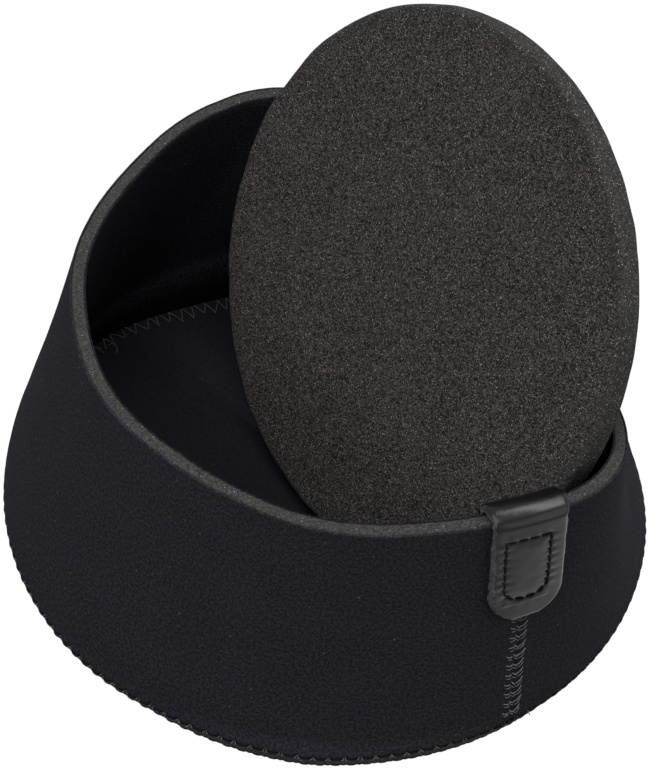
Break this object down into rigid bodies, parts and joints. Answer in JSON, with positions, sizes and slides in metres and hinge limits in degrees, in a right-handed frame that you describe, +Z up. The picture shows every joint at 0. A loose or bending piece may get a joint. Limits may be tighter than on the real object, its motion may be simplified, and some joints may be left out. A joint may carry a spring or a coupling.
{
  "type": "lens cap",
  "caption": "Soft slip-over cap for a camera lens or its hood, with a leather pull tab on the rim and a loose stiff foam disc leaning in its mouth.",
  "frame": {"origin": "centre of the base's flat underside", "axes": "+Z up out of the mouth, the leather tab at the front right, between +X and -Y"},
  "size_m": [0.1284, 0.1284, 0.0991],
  "materials": {
    "jersey": "matte knitted nylon",
    "foam_rubber": "matte cut edge",
    "lining": "matte knitted nylon",
    "leather": "smooth, semi-gloss",
    "thread": "twisted polyester",
    "insert_foam": "matte, fine open cells"
  },
  "bodies": {
    "cap": {"wall_outer_jersey": "jersey", "wall_core": "foam_rubber", "wall_lining": "lining", "base_outer_jersey": "jersey", "base_core": "foam_rubber", "base_lining": "lining", "pull_tab": "leather", "tab_outer_stitching": "thread", "tab_inner_stitching": "thread", "side_seam_outer_stitching": "thread", "side_seam_inner_stitching": "thread", "base_seam_outer_stitching": "thread", "base_seam_inner_stitching": "thread"},
    "insert": {"foam_insert": "insert_foam"}
  },
  "joints": [
    {"name": "insert_lift", "type": "slide", "parent": "cap", "child": "insert", "axis": [0.3243, 0.2507, 0.9121], "range_m": [0, 0.07]}
  ]
}
